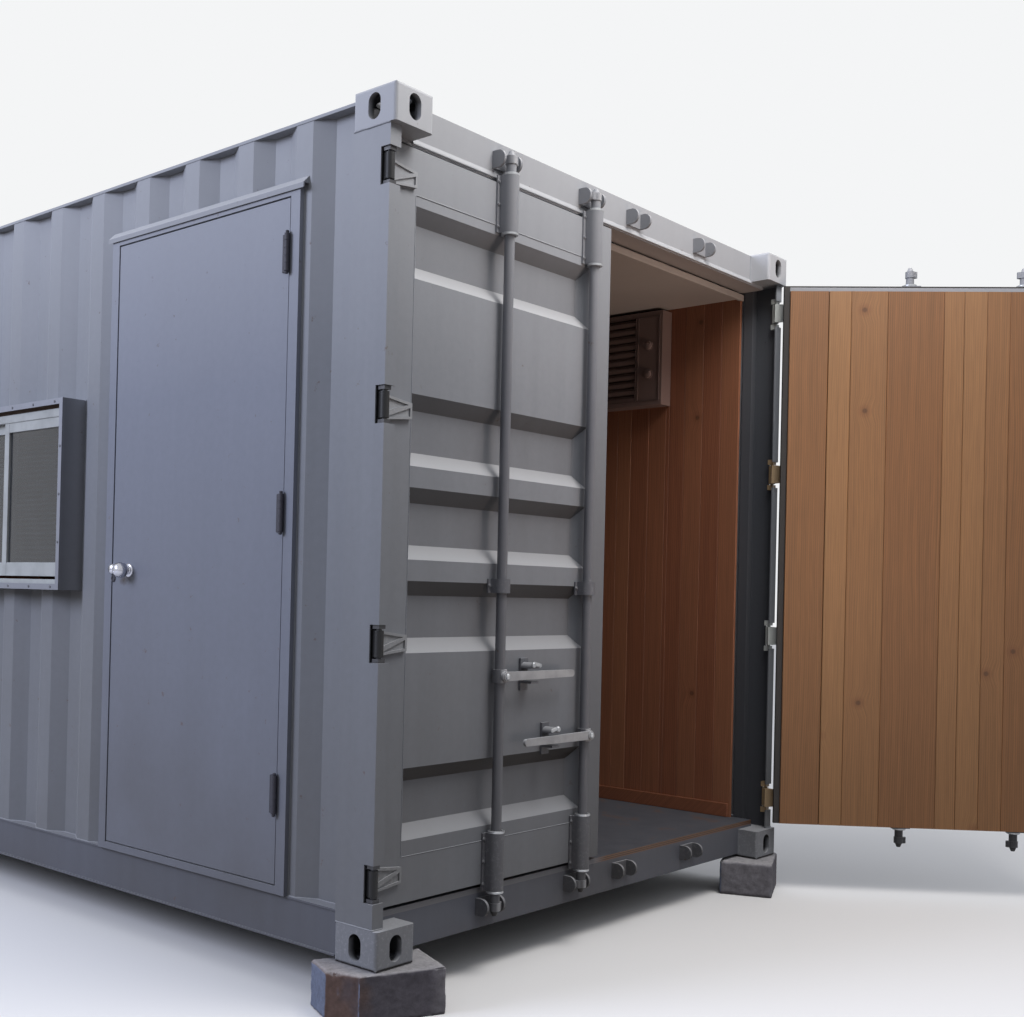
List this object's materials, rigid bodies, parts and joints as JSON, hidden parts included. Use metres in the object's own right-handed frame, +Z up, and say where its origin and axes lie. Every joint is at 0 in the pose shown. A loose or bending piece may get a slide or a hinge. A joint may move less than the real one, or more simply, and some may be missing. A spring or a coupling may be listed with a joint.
{
  "type": "container_cabin",
  "caption": "Steel shipping container turned into a cabin, with a side entry door, a boxed slider window, cedar boarded walls and hinged cargo doors with swivelling lock bars",
  "frame": {"origin": "on the ground, straight under the outer corner of the left corner casting at the door end", "axes": "+X to the right along the door end, +Y in along the long walls, +Z up"},
  "size_m": [3.1865, 7.1187, 2.731],
  "materials": {
    "shell_paint": "satin blue-grey container paint, chalked and dust streaked",
    "gear_paint": "satin grey paint over forged steel, worn at the edges",
    "door_paint": "satin grey door paint",
    "cedar": "clear-coated cedar boards with knots",
    "floor_ply": "grey-blue painted plywood floor",
    "ceiling_board": "pale sealed board",
    "seal_rubber": "black extruded rubber seal",
    "sash_vinyl": "white vinyl window frame",
    "window_pane": "clear glass over a dark blind",
    "unit_plastic": "dark plastic grille",
    "knob_chrome": "satin chrome knob",
    "block_masonry": "weathered brick and concrete block"
  },
  "bodies": {
    "shell": {"corner_castings": "shell_paint", "rear_posts": "shell_paint", "hinge_lugs": "gear_paint", "door_header": "shell_paint", "door_sill": "shell_paint", "cam_keepers": "gear_paint", "far_posts": "shell_paint", "far_rails": "shell_paint", "top_side_rails": "shell_paint", "bottom_side_rails": "shell_paint", "cross_members": "gear_paint", "floor_boards": "floor_ply", "left_wall_near": "shell_paint", "left_wall_over_door": "shell_paint", "left_wall_far": "shell_paint", "right_wall": "shell_paint", "far_wall": "shell_paint", "roof": "shell_paint", "left_lining": "cedar", "right_lining": "cedar", "far_lining": "cedar", "ceiling": "ceiling_board", "entry_frame": "door_paint", "drip_cap": "shell_paint", "window_box": "shell_paint", "window_sashes": "sash_vinyl", "window_glass": "window_pane", "air_conditioner": "unit_plastic", "support_blocks": "block_masonry"},
    "entry_door": {"entry_leaf": "door_paint", "entry_hinges": "gear_paint"},
    "entry_knob_turn": {"entry_knob": "knob_chrome"},
    "left_cargo_door": {"left_door_frame": "door_paint", "left_door_panel": "door_paint", "left_door_gasket": "seal_rubber", "left_door_hinges": "gear_paint", "left_door_guides": "gear_paint", "left_door_lining": "cedar"},
    "right_cargo_door": {"right_door_frame": "door_paint", "right_door_panel": "door_paint", "right_door_gasket": "seal_rubber", "right_door_hinges": "gear_paint", "right_door_guides": "gear_paint", "right_door_lining": "cedar"},
    "left_outer_bar": {"left_lock_bar_outer": "gear_paint"},
    "left_inner_bar": {"left_lock_bar_inner": "gear_paint"},
    "right_outer_bar": {"right_lock_bar_outer": "gear_paint"},
    "right_inner_bar": {"right_lock_bar_inner": "gear_paint"}
  },
  "joints": [
    {"name": "entry_door_hinge", "type": "hinge", "parent": "shell", "child": "entry_door", "pos_m": [-0.018, 0.4455, 0.323], "axis": [0, 0, -1], "range_deg": [-110, 0]},
    {"name": "entry_knob_spindle", "type": "hinge", "parent": "entry_door", "child": "entry_knob_turn", "pos_m": [-0.006, 1.278, 1.298], "axis": [-1, 0, 0], "range_deg": [-60, 60]},
    {"name": "left_cargo_hinge", "type": "hinge", "parent": "shell", "child": "left_cargo_door", "pos_m": [0.022, 0.04, 0.39], "axis": [0, 0, -1], "range_deg": [0, 255]},
    {"name": "right_cargo_hinge", "type": "hinge", "parent": "shell", "child": "right_cargo_door", "pos_m": [2.416, 0.04, 0.39], "axis": [0, 0, 1], "range_deg": [-127, 133]},
    {"name": "left_outer_bar_turn", "type": "hinge", "parent": "left_cargo_door", "child": "left_outer_bar", "pos_m": [0.59, 0.048, 1.44], "axis": [0, 0, 1], "range_deg": [-100, 0]},
    {"name": "left_inner_bar_turn", "type": "hinge", "parent": "left_cargo_door", "child": "left_inner_bar", "pos_m": [1.068, 0.048, 1.44], "axis": [0, 0, -1], "range_deg": [-100, 0]},
    {"name": "right_outer_bar_turn", "type": "hinge", "parent": "right_cargo_door", "child": "right_outer_bar", "pos_m": [2.75144, -0.41844, 1.44], "axis": [0, 0, -1], "range_deg": [-100, 0]},
    {"name": "right_inner_bar_turn", "type": "hinge", "parent": "right_cargo_door", "child": "right_inner_bar", "pos_m": [3.03911, -0.80019, 1.44], "axis": [0, 0, 1], "range_deg": [-100, 0]}
  ]
}
